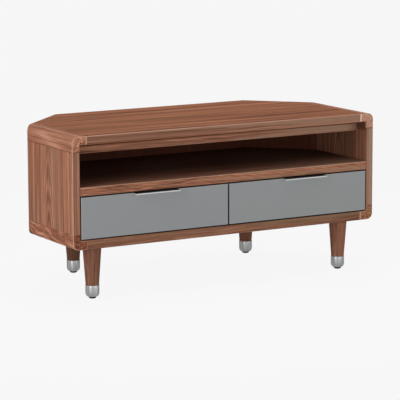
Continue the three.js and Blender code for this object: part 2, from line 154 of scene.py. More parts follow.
def mix_shaders(tree, share, first, second):
    values = {0: share, 1: first.outputs[0], 2: second.outputs[0]}
    return add_node(tree, "ShaderNodeMixShader", values).outputs[0]


def make_floor():
    bpy.ops.mesh.primitive_plane_add(size=FLOOR_SIZE, location=(0, 0, 0))
    floor = bpy.context.object
    floor.name = "studio_floor"
    material = bpy.data.materials.new("studio_floor")
    material.use_nodes = True
    tree = material.node_tree
    tree.nodes.clear()
    place = add_node(tree, "ShaderNodeTexCoord").outputs["Object"]
    near = fade(tree, vector_math(tree, "LENGTH", {0: place}, "Value"), SHADOW_GONE, SHADOW_FULL)
    glowing = math_node(tree, "MULTIPLY_ADD", near, -SHADOW_SHARE, 1.0)
    share = times(tree, seen_directly(tree), glowing)
    paint = add_node(tree, "ShaderNodeBsdfDiffuse", {"Color": FLOOR_PAINT})
    strength = math_node(tree, "MULTIPLY_ADD", near, LIFT, 1.0)
    glow = add_node(tree, "ShaderNodeEmission", {"Color": BACKGROUND, "Strength": strength})
    surface = mix_shaders(tree, share, paint, glow)
    add_node(tree, "ShaderNodeOutputMaterial", {"Surface": surface})
    floor.data.materials.append(material)


def make_world():
    world = bpy.data.worlds.new("studio_world")
    scene.world = world
    world.use_nodes = True
    tree = world.node_tree
    tree.nodes.clear()
    soft = add_node(tree, "ShaderNodeBackground", {"Color": WHITE, "Strength": WORLD_STRENGTH})
    pale = add_node(tree, "ShaderNodeBackground", {"Color": BACKGROUND, "Strength": 1.0})
    surface = mix_shaders(tree, seen_directly(tree), soft, pale)
    add_node(tree, "ShaderNodeOutputWorld", {"Surface": surface})


make_floor()
make_world()
print("the floor is", FLOOR_SIZE, "m wide, and its shadow ends", SHADOW_GONE, "m out")


# %% [markdown]
# Large soft lamps stand round the cabinet. The left one makes the end of the cabinet its
# brightest side, and a low one beside it reaches the legs under the cabinet. Two in front
# light the drawers, one hangs over the top, and a weak one behind keeps the back readable when
# we walk round. The top is seen at a low angle, where any wood shines like water, so the rear
# lamp is kept out of the reflections.

# %% Lamps
def make_lamp(name, place, aim, width, height, power):
    data = bpy.data.lights.new(name, "AREA")
    data.shape = "RECTANGLE"
    data.size = width
    data.size_y = height
    data.energy = power
    lamp = bpy.data.objects.new(name, data)
    scene.collection.objects.link(lamp)
    lamp.location = place
    lamp.rotation_mode = "QUATERNION"
    lamp.rotation_quaternion = (Vector(aim) - Vector(place)).to_track_quat("-Z", "Y")
    print(name, "at", place, "with", power, "W")
    return lamp


MIDDLE, LOWER = (0.0, 0.0, 0.3), (0.0, 0.0, 0.2)
make_lamp("left_lamp", (-3.1, -0.8, 1.7), MIDDLE, 1.8, 1.8, 50.0)
make_lamp("low_left_lamp", (-3.3, -2.3, 0.5), LOWER, 1.9, 0.7, 34.0)
make_lamp("front_lamp", (0.3, -3.6, 0.9), MIDDLE, 3.6, 1.6, 32.0)
make_lamp("right_lamp", (1.8, -3.0, 0.8), MIDDLE, 1.8, 1.2, 25.0)
make_lamp("top_lamp", (0.4, 0.2, 2.6), MIDDLE, 2.4, 2.4, 35.0)
rear_lamp = make_lamp("rear_lamp", (1.2, 3.2, 1.4), MIDDLE, 1.8, 1.8, 9.0)
rear_lamp.visible_glossy = False

# %% [markdown]
# Every finish below is a small tree of nodes. A few more helpers keep the trees readable: they
# mix two colours, stretch a place along the grain, and start a material or a node group whose
# sockets have names, so that an effect is built once and placed in many materials.


# %% Helpers for finishes
def colour(chart_value):
    """A colour as a paint chart writes it, turned into the linear numbers that Blender uses."""
    parts = [int(chart_value[i : i + 2], 16) / 255 for i in (0, 2, 4)]
    linear = [p / 12.92 if p <= 0.04045 else ((p + 0.055) / 1.055) ** 2.4 for p in parts]
    return (*linear, 1.0)


def mix_colours(tree, share, first, second):
    values = {0: share, 6: first, 7: second}
    return add_node(tree, "ShaderNodeMix", values, data_type="RGBA").outputs[2]


def noise(tree, vector, detail, roughness=0.5, scale=1.0):
    values = {"Vector": vector, "Scale": scale, "Detail": detail, "Roughness": roughness}
    return add_node(tree, "ShaderNodeTexNoise", values).outputs[0]


def stretched(tree, vector, scale):
    return add_node(tree, "ShaderNodeMapping", {"Vector": vector, "Scale": scale}).outputs[0]


def object_place(tree, turn=(0, 0, 0), shift=(0, 0, 0), mirrored=False):
    """Object coordinates, turned so that X runs along the grain, and shifted to fresh timber."""
    place = add_node(tree, "ShaderNodeTexCoord").outputs["Object"]
    if mirrored:
        split = add_node(tree, "ShaderNodeSeparateXYZ", {0: place}).outputs
        parts = {0: math_node(tree, "ABSOLUTE", split["X"]), 1: split["Y"], 2: split["Z"]}
        place = add_node(tree, "ShaderNodeCombineXYZ", parts).outputs[0]
    values = {"Vector": place, "Rotation": turn, "Location": shift}
    return add_node(tree, "ShaderNodeMapping", values).outputs[0]


def bump(tree, height, strength, distance):
    values = {"Height": height, "Strength": strength, "Distance": distance}
    return add_node(tree, "ShaderNodeBump", values).outputs[0]


SOCKETS = {
    "vector": "NodeSocketVector",
    "colour": "NodeSocketColor",
    "number": "NodeSocketFloat",
}


def new_group(name, inputs, outputs):
    tree = bpy.data.node_groups.new(name, "ShaderNodeTree")
    for in_out, sockets in (("INPUT", inputs), ("OUTPUT", outputs)):
        for socket, kind in sockets.items():
            tree.interface.new_socket(name=socket, in_out=in_out, socket_type=SOCKETS[kind])
    given, result = tree.nodes.new("NodeGroupInput"), tree.nodes.new("NodeGroupOutput")
    return tree, given.outputs, result.inputs


def place_group(tree, group, values):
    node = tree.nodes.new("ShaderNodeGroup")
    node.node_tree = group
    feed(tree, node, values)
    return node.outputs


def new_material(name):
    material = bpy.data.materials.new(name)
    material.use_nodes = True
    return material, material.node_tree, material.node_tree.nodes["Principled BSDF"]


print("the chart's middle grey 808080 is", round(colour("808080")[0], 3), "to Blender")


# %% [markdown]
# Walnut is a striped timber. Bands of grey-brown and red-brown run with the grain, finer
# streaks lie in them, and short dark pores show close by. Where a saw cuts across the growth
# rings at a low angle, they open into long arches. The group stacks these layers. A slow wobble
# bends the grain, stretched noise gives the bands, and rings that lean against the grain give
# the arches. Thin noise gives the pores.


# %% The walnut group
WOBBLE_STRETCH = (5.0, 14.0, 14.0)
BANDS_ALONG = 1.1
STREAK_STRETCH = (3.0, 300.0, 300.0)
RINGS_ALONG = 0.12
DRIFT_STRETCH = (1.0, 0.8, 0.8)
OLIVE_FROM, OLIVE_TO, OLIVE_SHARE = 0.50, 0.68, 0.8
PORE_STRETCH = (50.0, 1300.0, 1300.0)
PORES_FROM, PORES_TO, PORE_SHARE = 0.60, 0.74, 0.4
TIMBER_ROUGHNESS, PORE_ROUGHNESS = 0.68, 0.15


def add_swing(tree, base, pattern, share, clamp=False):
    """Adds what a pattern lies above or below one half, times a share."""
    swing = math_node(tree, "SUBTRACT", pattern, 0.5)
    return math_node(tree, "MULTIPLY_ADD", swing, share, base, clamp=clamp)


def make_walnut_group():
    tree, given, result = new_group(
        "walnut_grain",
        {
            "Place": "vector",
            "Dark": "colour",
            "Middle": "colour",
            "Light": "colour",
            "Olive": "colour",
            "Wobble": "number",
            "Bands per metre": "number",
            "Bands": "number",
            "Ring scale": "number",
            "Ring lean": "number",
            "Rings": "number",
            "Ring reach": "number",
            "Streaks": "number",
            "Olive shift": "number",
        },
        {"Color": "colour", "Roughness": "number", "Height": "number"},
    )
    wobble_place = stretched(tree, given["Place"], WOBBLE_STRETCH)
    values = {"Vector": wobble_place, "Scale": 1.0, "Detail": 2.0}
    slow = add_node(tree, "ShaderNodeTexNoise", values).outputs["Color"]
    centred = vector_math(tree, "SUBTRACT", {0: slow, 1: (0.5, 0.5, 0.5)})
    bent = vector_math(tree, "SCALE", {0: centred, "Scale": given["Wobble"]})
    grain = vector_math(tree, "ADD", {0: given["Place"], 1: bent})

    across = given["Bands per metre"]
    finer = add_node(tree, "ShaderNodeCombineXYZ", {0: BANDS_ALONG, 1: across, 2: across})
    spread = vector_math(tree, "MULTIPLY", {0: grain, 1: finer.outputs[0]})
    bands = noise(tree, spread, 4.0, 0.62)
    streaks = noise(tree, stretched(tree, grain, STREAK_STRETCH), 2.0, 0.6)

    split = add_node(tree, "ShaderNodeSeparateXYZ", {0: grain}).outputs
    leaning = math_node(tree, "MULTIPLY_ADD", split["X"], given["Ring lean"], split["Z"])
    parts = {0: times(tree, split["X"], RINGS_ALONG), 1: split["Y"], 2: leaning}
    ring_place = add_node(tree, "ShaderNodeCombineXYZ", parts).outputs[0]
    heart = add_node(tree, "ShaderNodeCombineXYZ", {1: split["Y"], 2: leaning}).outputs[0]
    from_heart = vector_math(tree, "LENGTH", {0: heart}, "Value")
    half_reach = times(tree, given["Ring reach"], 0.5)
    near_heart = fade(tree, from_heart, given["Ring reach"], half_reach)
    ring_share = times(tree, near_heart, given["Rings"])
    rings = add_node(
        tree,
        "ShaderNodeTexWave",
        {
            "Vector": ring_place,
            "Scale": given["Ring scale"],
            "Distortion": 4.0,
            "Detail": 2.0,
            "Detail Scale": 0.8,
        },
        wave_type="RINGS",
        rings_direction="X",
        wave_profile="SIN",
    ).outputs["Fac"]
    tone = add_swing(tree, 0.5, bands, given["Bands"])
    tone = add_swing(tree, tone, rings, ring_share)
    tone = add_swing(tree, tone, streaks, given["Streaks"], clamp=True)
    deep = mix_colours(tree, fade(tree, tone, 0.0, 0.5), given["Dark"], given["Middle"])
    timber = mix_colours(tree, fade(tree, tone, 0.5, 1.0), deep, given["Light"])
    drift = noise(tree, stretched(tree, spread, DRIFT_STRETCH), 2.0)
    drifted = math_node(tree, "ADD", drift, given["Olive shift"])
    olive = times(tree, fade(tree, drifted, OLIVE_FROM, OLIVE_TO), OLIVE_SHARE)
    timber = mix_colours(tree, olive, timber, given["Olive"])

    pore_noise = noise(tree, stretched(tree, grain, PORE_STRETCH), 2.0)
    pores = fade(tree, pore_noise, PORES_FROM, PORES_TO)
    seen = mix_colours(tree, times(tree, pores, PORE_SHARE), timber, given["Dark"])
    roughness = math_node(tree, "MULTIPLY_ADD", pores, PORE_ROUGHNESS, TIMBER_ROUGHNESS)
    tree.links.new(seen, result["Color"])
    tree.links.new(roughness, result["Roughness"])
    tree.links.new(math_node(tree, "SUBTRACT", streaks, pores), result["Height"])
    return tree


walnut_group = make_walnut_group()
print("made", walnut_group.name)

# %% [markdown]
# Three things darken the timber from place to place. A painted shade darkens the depth of the
# open compartment and the gaps round the drawers, where little light reaches. It also darkens the
# strip close under the top, on the rail and in the upper corner of each side. And a thin dark line
# of glue and dust shows where the corner mouldings meet the sides. One group measures all of them
# from the place on the cabinet, and each finish takes as much of them as it needs.

# %% The group for depth and joints
FRONT_FACE = -0.24625
HALF_INSIDE = 0.524
UNDER_TOP = 0.493
UNDER_SHELF = 0.335
ABOVE_BOTTOM = 0.197
# Painted shade: close under the top, the rail and the upper corners of the sides are darkened above
# these heights.
SHADED_RAIL, SHADED_CORNER = 0.4795, 0.461
UPPER_JOINT, LOWER_JOINT = 0.472, 0.216
LOWER_JOINT_THINNER = 1.0 * MM
JOINT_CORE, JOINT_EDGE = 0.6 * MM, 2.2 * MM


def make_depth_group():
    tree, given, result = new_group(
        "depth_and_joints",
        {"Spot": "vector", "Start": "number", "End": "number"},
        {"Inside": "number", "Drawer bay": "number", "Joints": "number", "Near top": "number"},
    )
    # Inside, Drawer bay and Near top are masks for painted shade, and Joints marks the dark glue
    # lines.
    split = add_node(tree, "ShaderNodeSeparateXYZ", {0: given["Spot"]}).outputs
    height = split["Z"]
    behind = math_node(tree, "SUBTRACT", split["Y"], FRONT_FACE)
    across = math_node(tree, "ABSOLUTE", split["X"])
    between_sides = fade(tree, across, HALF_INSIDE + 2 * MM, HALF_INSIDE - MM)
    under_top = fade(tree, height, UNDER_TOP + 2 * MM, UNDER_TOP - MM)
    within = times(tree, between_sides, under_top)
    depth = fade(tree, behind, given["Start"], given["End"])
    tree.links.new(times(tree, within, depth), result["Inside"])

    under_shelf = fade(tree, height, UNDER_SHELF + 1.5 * MM, UNDER_SHELF)
    above_bottom = fade(tree, height, ABOVE_BOTTOM - 1.5 * MM, ABOVE_BOTTOM)
    behind_front = fade(tree, behind, MM, 4 * MM)
    bay = times(tree, under_shelf, above_bottom, between_sides, behind_front)
    tree.links.new(bay, result["Drawer bay"])

    at_wall = fade(tree, across, HALF_INSIDE - 2 * MM, HALF_INSIDE - MM)
    shade_span = SHADED_CORNER - SHADED_RAIL
    level = math_node(tree, "MULTIPLY_ADD", at_wall, shade_span, SHADED_RAIL)
    above = fade(tree, math_node(tree, "SUBTRACT", height, level), 0.0, 2 * MM)
    near_top = times(tree, above, within, fade(tree, behind, MM, 10 * MM))
    tree.links.new(near_top, result["Near top"])

    upper = math_node(tree, "SUBTRACT", height, UPPER_JOINT)
    lower = math_node(tree, "SUBTRACT", height, LOWER_JOINT)
    from_lower = math_node(tree, "ADD", math_node(tree, "ABSOLUTE", lower), LOWER_JOINT_THINNER)
    nearest = math_node(tree, "MINIMUM", math_node(tree, "ABSOLUTE", upper), from_lower)
    tree.links.new(fade(tree, nearest, JOINT_EDGE, JOINT_CORE), result["Joints"])
    return tree


depth_group = make_depth_group()
print("made", depth_group.name)

# %% [markdown]
# A walnut finish is the first group with its own colours, its own direction and its own part of
# the timber, darkened by the painted shade and the glue lines of the second. The boards have
# straight grain across the cabinet, the sides upright grain, and the corner mouldings are solid
# wood with the grain from front to back, so their ends show mottled end grain. The two sides are
# mirrored, as two leaves cut one after the other are. The rear left leg gets darker tones, a
# painted shade. The right legs get paler tones, painted light where the cabinet keeps the left
# lamps off them. None of the legs is shaded by its depth. The oil on the timber is thin and
# satin, so the shine is kept low and the timber's own colour stays strong.

# %% Walnut finishes
QUARTER_TURN = math.pi / 2
ALONG_X = (0.0, 0.0, 0.0)
ALONG_Y = (0.0, 0.0, -QUARTER_TURN)
ALONG_Z = (0.0, QUARTER_TURN, 0.0)
# The dark colour that the painted shade and the glue lines mix towards.
SHADE_AND_JOINT_DARK = (0.03, 0.004, 0.0, 1.0)
RELIEF = 0.2 * MM
TIMBER_BUMP = 0.25


def walnut_finish(name, turn, shift, tones, wobble=0.01, per_metre=60.0, bands=2.4, rings=0.2,
                  ring_scale=40.0, lean=0.0, reach=5.0, streaks=0.9, mirrored=False, drift=0.0,
                  depth_shade=0.6, deep=(0.03, 0.2), joints=0.0, near_top=0.0, bay=0.85,
                  shine=0.08):
    """Drift says how much the timber turns olive per metre towards the right, a painted sheen. The
    other shares say how dark the painted shade is in the depth, in the drawer bay and close
    under the top, and how dark the glue lines are at the joints."""
    material, tree, shader = new_material(name)
    dark, middle, light, olive = (colour(tone) for tone in tones)
    spot = object_place(tree)
    split = add_node(tree, "ShaderNodeSeparateXYZ", {0: spot}).outputs
    wood = place_group(
        tree,
        walnut_group,
        {
            "Place": object_place(tree, turn, shift, mirrored),
            "Dark": dark,
            "Middle": middle,
            "Light": light,
            "Olive": olive,
            "Wobble": wobble,
            "Bands per metre": per_metre,
            "Bands": bands,
            "Ring scale": ring_scale,
            "Ring lean": lean,
            "Rings": rings,
            "Ring reach": reach,
            "Streaks": streaks,
            # Painted sheen: the colour turns olive towards the right, where the light gives the
            # wood a cooler cast.
            "Olive shift": times(tree, split["X"], drift),
        },
    )
    places = place_group(tree, depth_group, {"Spot": spot, "Start": deep[0], "End": deep[1]})
    # Painted shade in the depth, in the drawer bay and close under the top, and the dark glue
    # lines.
    shade = times(tree, places["Inside"], depth_shade)
    for cause, share in (("Drawer bay", bay), ("Joints", joints), ("Near top", near_top)):
        shade = math_node(tree, "MAXIMUM", shade, times(tree, places[cause], share))
    seen = mix_colours(tree, shade, wood["Color"], SHADE_AND_JOINT_DARK)
    tree.links.new(seen, shader.inputs["Base Color"])
    tree.links.new(wood["Roughness"], shader.inputs["Roughness"])
    tree.links.new(bump(tree, wood["Height"], TIMBER_BUMP, RELIEF), shader.inputs["Normal"])
    shader.inputs["Specular IOR Level"].default_value = shine
    return material


# %% Walnut of the boards
TOP_TONES = ("5c3526", "935d42", "b37657", "765134")
EDGE_TONES = ("654232", "825a48", "996d58", "8b6b58")
SHELF_TONES = ("532f22", "8b5c46", "c08263", "8f7058")
RAIL_TONES = ("5b3829", "865a47", "aa775c", "8d715d")
BOTTOM_TONES = ("5a382a", "7a5340", "966a51", "785f49")
SIDE_TONES = ("6d4637", "95614a", "bb8369", "7b6551")
BAND_TONES = ("684437", "885f4b", "a77760", "937b68")
INSIDE_TONES = ("6a3f2e", "824f3c", "9a6449", "70492f")
# Pale tones for the flats along the front: a painted highlight, with some wear in it.
ARRIS_TONES = ("966c56", "b08872", "cca48c", "aa8870")

walnut_top = walnut_finish(
    "walnut_top", ALONG_X, (0.3, 0.07, 0.16), TOP_TONES, wobble=0.006, per_metre=34.0,
    bands=3.0, rings=0.1, depth_shade=0.75, shine=0.03)
walnut_edges = walnut_finish(
    "walnut_edges", ALONG_X, (0.8, 0.1, 0.05), EDGE_TONES, per_metre=90.0, rings=0.3,
    drift=0.6, depth_shade=0.75)
walnut_shelf = walnut_finish(
    "walnut_shelf", ALONG_X, (0.35, 0.4, 0.6), SHELF_TONES, wobble=0.03, per_metre=130.0,
    bands=2.0, ring_scale=30.0, lean=0.2, drift=0.2, depth_shade=0.75)
walnut_rail = walnut_finish(
    "walnut_rail", ALONG_X, (1.1, 0.6, 0.35), RAIL_TONES, wobble=0.02, per_metre=90.0,
    rings=0.3, drift=0.35, depth_shade=0.0, near_top=0.7)
walnut_bottom = walnut_finish(
    "walnut_bottom", ALONG_X, (1.6, 0.3, 0.9), BOTTOM_TONES, wobble=0.02, per_metre=80.0,
    rings=0.3, drift=0.2)
walnut_inside = walnut_finish(
    "walnut_inside", ALONG_Z, (1.7, 0.4, 0.26), INSIDE_TONES, wobble=0.006, per_metre=45.0,
    bands=1.2, rings=0.1, streaks=0.5, depth_shade=0.82)
walnut_back = walnut_finish(
    "walnut_back", ALONG_Z, (1.7, 0.4, 0.26), INSIDE_TONES, wobble=0.006, per_metre=45.0,
    bands=1.6, rings=0.1, streaks=0.7, depth_shade=0.0, bay=0.0)
walnut_sides = walnut_finish(
    "walnut_sides", ALONG_Z, (0.0, 0.078, 0.567), SIDE_TONES, per_metre=85.0, rings=0.5,
    ring_scale=32.0, lean=-0.145, reach=0.065, streaks=1.2, mirrored=True, depth_shade=0.5,
    deep=(0.0, 0.02), joints=0.45, near_top=0.85)
walnut_bands = walnut_finish(
    "walnut_bands", ALONG_Z, (0.7, 0.3, 0.2), BAND_TONES, per_metre=160.0, bands=2.0,
    drift=0.3, joints=0.6)
walnut_arris_wear_and_highlight = walnut_finish(
    "walnut_arris_wear_and_highlight", ALONG_X, (0.2, 0.5, 0.1), ARRIS_TONES, per_metre=90.0, bands=1.0,
    streaks=0.6)
print("the scene now has", len(bpy.data.materials), "materials, the frame's and floor's among them")

# %% Walnut of the mouldings and legs
UPPER_TONES = ("744939", "a06b54", "c4937c", "90684f")
LOWER_TONES = ("6a402e", "955f49", "c68e74", "80593f")
END_TONES = {
    "top_left": ("482617", "a0694f", "c29076", "8a6850"),
    "top_right": ("865c4a", "ac806a", "c49a86", "a88a6c"),
    "bottom_left": ("3a2014", "74402e", "a0684e", "6c4c38"),
    "bottom_right": ("563226", "885a44", "ac7c62", "846444"),
}
LEG_TONES = ("573628", "7a5140", "936852", "6a4b3d")
# Paler tones are painted light for the right legs, and darker tones painted shade for the rear left
# leg.
LEG_TONES_PAINTED_LIGHT = ("603c2c", "885a47", "a3735b", "765444")
LEG_TONES_PAINTED_SHADE = ("472b1f", "644234", "795543", "573d31")

# The upper mouldings take the full painted shade on their faces inside the compartment.
walnut_upper = walnut_finish(
    "walnut_upper", ALONG_Y, (0.4, 0.9, -0.5), UPPER_TONES, wobble=0.016, per_metre=70.0,
    bands=1.6, rings=0.35, ring_scale=18.0, lean=-0.2, streaks=1.2, mirrored=True,
    depth_shade=1.0, deep=(0.002, 0.012), joints=0.45, shine=0.04)
walnut_lower = walnut_finish(
    "walnut_lower", ALONG_Y, (0.9, 0.5, -0.1), LOWER_TONES, wobble=0.05, per_metre=90.0,
    bands=1.7, rings=0.5, ring_scale=30.0, lean=-0.15, streaks=1.2, mirrored=True,
    deep=(0.004, 0.02), joints=0.45)
walnut_ends = {
    corner: walnut_finish(
        "walnut_end_" + corner, ALONG_Y, (0.1 * number, 0.3, 0.7), tones, wobble=0.0,
        per_metre=120.0, streaks=1.2, joints=0.7)
    for number, (corner, tones) in enumerate(END_TONES.items())
}
LEG_GRAIN = {"per_metre": 110.0, "bands": 1.8, "depth_shade": 0.0}
walnut_leg = walnut_finish(
    "walnut_leg", ALONG_Z, (0.2, 0.9, 0.3), LEG_TONES, **LEG_GRAIN)
walnut_leg_painted_light = walnut_finish(
    "walnut_leg_painted_light", ALONG_Z, (0.9, 0.35, 0.15), LEG_TONES_PAINTED_LIGHT, **LEG_GRAIN)
walnut_leg_painted_shade = walnut_finish(
    "walnut_leg_painted_shade", ALONG_Z, (0.8, 0.4, 0.1), LEG_TONES_PAINTED_SHADE, **LEG_GRAIN)
print("made", len(walnut_ends), "kinds of end grain and three of leg")

# %% [markdown]
# Three effects are left, and each serves several finishes, so each is a group too. Cloud is
# soft noise for pale timber, plastic and lacquer. Its place is stretched where the grain is
# long. Orange peel is the faint dimpling that sprayed lacquer dries with. Brushing is the
# thousands of parallel scratches that an abrasive belt leaves on metal.

# %% Three small groups
DIMPLES_PER_METRE = 900.0
DIMPLE_ROUGHNESS = 0.12
CLOUD_FROM, CLOUD_TO = 0.3, 0.7
SCRATCH_ROUGHNESS = 0.16


def make_cloud_group():
    tree, given, result = new_group(
        "cloud",
        {
            "Place": "vector",
            "Stretch": "vector",
            "Detail": "number",
            "First": "colour",
            "Second": "colour",
        },
        {"Color": "colour", "Height": "number"},
    )
    spread = vector_math(tree, "MULTIPLY", {0: given["Place"], 1: given["Stretch"]})
    cloud = noise(tree, spread, given["Detail"], 0.6)
    share = fade(tree, cloud, CLOUD_FROM, CLOUD_TO)
    seen = mix_colours(tree, share, given["First"], given["Second"])
    tree.links.new(seen, result["Color"])
    tree.links.new(cloud, result["Height"])
    return tree


def make_peel_group():
    tree, given, result = new_group(
        "orange_peel",
        {"Place": "vector", "Roughness": "number"},
        {"Roughness": "number", "Height": "number"},
    )
    peel = noise(tree, given["Place"], 2.0, scale=DIMPLES_PER_METRE)
    roughness = math_node(tree, "MULTIPLY_ADD", peel, DIMPLE_ROUGHNESS, given["Roughness"])
    tree.links.new(roughness, result["Roughness"])
    tree.links.new(peel, result["Height"])
    return tree


def make_brushing_group():
    tree, given, result = new_group(
        "brushing",
        {
            "Place": "vector",
            "Scratches": "vector",
            "Dark": "colour",
            "Light": "colour",
            "Roughness": "number",
        },
        {"Color": "colour", "Roughness": "number", "Height": "number"},
    )
    spread = vector_math(tree, "MULTIPLY", {0: given["Place"], 1: given["Scratches"]})
    lines = noise(tree, spread, 3.0, 0.6)
    roughness = math_node(tree, "MULTIPLY_ADD", lines, SCRATCH_ROUGHNESS, given["Roughness"])
    tree.links.new(mix_colours(tree, lines, given["Dark"], given["Light"]), result["Color"])
    tree.links.new(roughness, result["Roughness"])
    tree.links.new(lines, result["Height"])
    return tree


cloud_group = make_cloud_group()
peel_group = make_peel_group()
brushing_group = make_brushing_group()
print("made", cloud_group.name, peel_group.name, brushing_group.name)

# %% [markdown]
# Now the finishes that use them. Each lipping is pale maple, and the drawer boxes are birch
# plywood. The drawer fronts are sprayed grey, and their edges get a painted shade in dark grey,
# so the gaps round them read as fine dark lines. The pull is bright at its lip, and its upper
# face gets a painted shade in black. Its skin scatters light so widely that a plain pale or
# black colour suits it better than a mirror. The ferrules are brushed metal with painted
# reflections in upright bands, and a painted shade darkens them where they turn away from us.


# %% Pale wood, lacquer and nylon
CLOUD_ROUGHNESS = 0.2


def place_cloud(tree, place, stretch, detail, tones):
    first, second = (colour(tone) for tone in tones)
    values = {"Place": place, "Stretch": stretch, "Detail": detail}
    return place_group(tree, cloud_group, {**values, "First": first, "Second": second})


def clouded_finish(name, turn, stretch, detail, tones, roughness, depth, shine=0.2):
    material, tree, shader = new_material(name)
    cloud = place_cloud(tree, object_place(tree, turn), stretch, detail, tones)
    rough = math_node(tree, "MULTIPLY_ADD", cloud["Height"], CLOUD_ROUGHNESS, roughness)
    tree.links.new(cloud["Color"], shader.inputs["Base Color"])
    tree.links.new(rough, shader.inputs["Roughness"])
    tree.links.new(bump(tree, cloud["Height"], depth, RELIEF), shader.inputs["Normal"])
    shader.inputs["Specular IOR Level"].default_value = shine
    return material


LACQUER_ROUGHNESS, LACQUER_SHINE, PEEL_BUMP = 0.42, 0.2, 0.06
LACQUER_CLOUD = (2.5, 2.5, 2.5)


def lacquer_finish(name, tones):
    material, tree, shader = new_material(name)
    place = object_place(tree)
    cloud = place_cloud(tree, place, LACQUER_CLOUD, 2.0, tones)
    peel = place_group(tree, peel_group, {"Place": place, "Roughness": LACQUER_ROUGHNESS})
    tree.links.new(cloud["Color"], shader.inputs["Base Color"])
    tree.links.new(peel["Roughness"], shader.inputs["Roughness"])
    tree.links.new(bump(tree, peel["Height"], PEEL_BUMP, RELIEF), shader.inputs["Normal"])
    shader.inputs["Specular IOR Level"].default_value = LACQUER_SHINE
    return material


MAPLE_GRAIN = (6.0, 350.0, 350.0)
BIRCH_GRAIN = (6.0, 160.0, 160.0)
NYLON_GRAIN = (1500.0, 1500.0, 1500.0)
MAPLE_TONES = {
    "top_left": ("a0745d", "be947c"),
    "top_right": ("dcb9a4", "f3dccb"),
    "bottom_left": ("7c5340", "926650"),
    "bottom_right": ("ad8166", "c1967d"),
}
maple = {
    corner: clouded_finish("maple_" + corner, ALONG_Y, MAPLE_GRAIN, 4.0, tones, 0.45, 0.15)
    for corner, tones in MAPLE_TONES.items()
}
birch = clouded_finish("birch_box", ALONG_Y, BIRCH_GRAIN, 4.0, ("c6aa82", "dcc7a3"), 0.45, 0.15)
black_nylon = clouded_finish(
    "black_nylon", ALONG_X, NYLON_GRAIN, 3.0, ("030303", "080808"), 0.5, 0.1, shine=0.02)
grey_lacquer = lacquer_finish("grey_lacquer", ("838587", "858787"))
# A painted highlight: the narrow flats along the drawer fronts are a paler grey.
grey_arris_highlight = lacquer_finish("grey_arris_highlight", ("a0a3a5", "a6a8a9"))
# A painted shade: the edges of the drawer fronts are dark grey.
grey_edge_shade = lacquer_finish("grey_edge_shade", ("28282a", "303032"))
print("made", len(maple), "kinds of maple, birch, nylon and three greys")

# %% Brushed metal
# A painted shade: metal is darkened where it turns edge-on to the view.
RIM_FROM, RIM_TO = 0.35, 0.9
RIM_SHADE_COLOUR = (0.02, 0.02, 0.02, 1.0)
SCRATCH_RELIEF, SCRATCH_BUMP = 0.05 * MM, 0.1
METAL_SHINE = 0.3


def brushed_finish(name, scratches, tones, roughness, metallic=1.0, rim_shade=0.0):
    """Scratches says how fine the brushing is across X, Y and Z, and the rim share how far a
    painted shade darkens metal where it turns edge-on."""
    material, tree, shader = new_material(name)
    dark, light = (colour(tone) for tone in tones)
    values = {
        "Place": object_place(tree),
        "Scratches": scratches,
        "Dark": dark,
        "Light": light,
        "Roughness": roughness - SCRATCH_ROUGHNESS / 2,
    }
    brushed = place_group(tree, brushing_group, values)
    facing = add_node(tree, "ShaderNodeLayerWeight", {"Blend": 0.5}).outputs["Facing"]
    rim_shade_share = times(tree, fade(tree, facing, RIM_FROM, RIM_TO), rim_shade)
    seen = mix_colours(tree, rim_shade_share, brushed["Color"], RIM_SHADE_COLOUR)
    normal = bump(tree, brushed["Height"], SCRATCH_BUMP, SCRATCH_RELIEF)
    tree.links.new(seen, shader.inputs["Base Color"])
    tree.links.new(brushed["Roughness"], shader.inputs["Roughness"])
    tree.links.new(normal, shader.inputs["Normal"])
    shader.inputs["Metallic"].default_value = metallic
    shader.inputs["Specular IOR Level"].default_value = METAL_SHINE
    return material


# Painted reflections: round the ferrule the brushing is coarse and up it long, so it makes upright
# light and dark bands.
FERRULE_REFLECTION_BANDS = (75.0, 75.0, 2.0)
ALONG_THE_PULL = (8.0, 1800.0, 1800.0)
ALONG_THE_SLIDE = (900.0, 6.0, 900.0)
ALL_WAYS = (400.0, 400.0, 400.0)
ferrule_metal = brushed_finish(
    "ferrule_metal", FERRULE_REFLECTION_BANDS, ("646464", "b6b6b6"), 0.36, metallic=0.8, rim_shade=0.6)
pull_metal = brushed_finish(
    "pull_metal", ALONG_THE_PULL, ("bebebe", "c8c8c8"), 0.6, metallic=0.0)
# A painted shade: the upper face of the pull is black.
pull_plate_shade = brushed_finish(
    "pull_plate_shade", ALONG_THE_PULL, ("0c0c0c", "141414"), 0.6, metallic=0.0)
zinc_steel = brushed_finish("zinc_steel", ALONG_THE_SLIDE, ("8f9294", "a8abad"), 0.36)
blackened_steel = brushed_finish("blackened_steel", ALL_WAYS, ("141414", "202020"), 0.5)
print("the scene now has", len(bpy.data.materials), "materials")

# %% [markdown]
# A board on the real cabinet has no knife-sharp edge: sandpaper has been over every arris. We
# take a copy of each solid, join its loose triangles, clear the flat faces, and let a small
# bevel round what is left. Three finishes go on a board. Its ends and front edges are found by
# their normals, because they show end grain or a strip of veneer. So are the narrow flats along
# the front that point outwards or up, towards the lamps. Their pale finish is a painted highlight,
# with some wear in it.


# %% Helpers for meshes
EDGE_SEGMENTS = 2


def select_only(piece):
    bpy.ops.object.select_all(action="DESELECT")
    piece.select_set(True)
    bpy.context.view_layer.objects.active = piece


def start_editing(piece):
    select_only(piece)
    bpy.ops.object.mode_set(mode="EDIT")


def apply_modifier(piece, kind, **settings):
    select_only(piece)
    modifier = piece.modifiers.new(kind.lower(), kind)
    for name, setting in settings.items():
        setattr(modifier, name, setting)
    bpy.ops.object.modifier_apply(modifier=modifier.name)


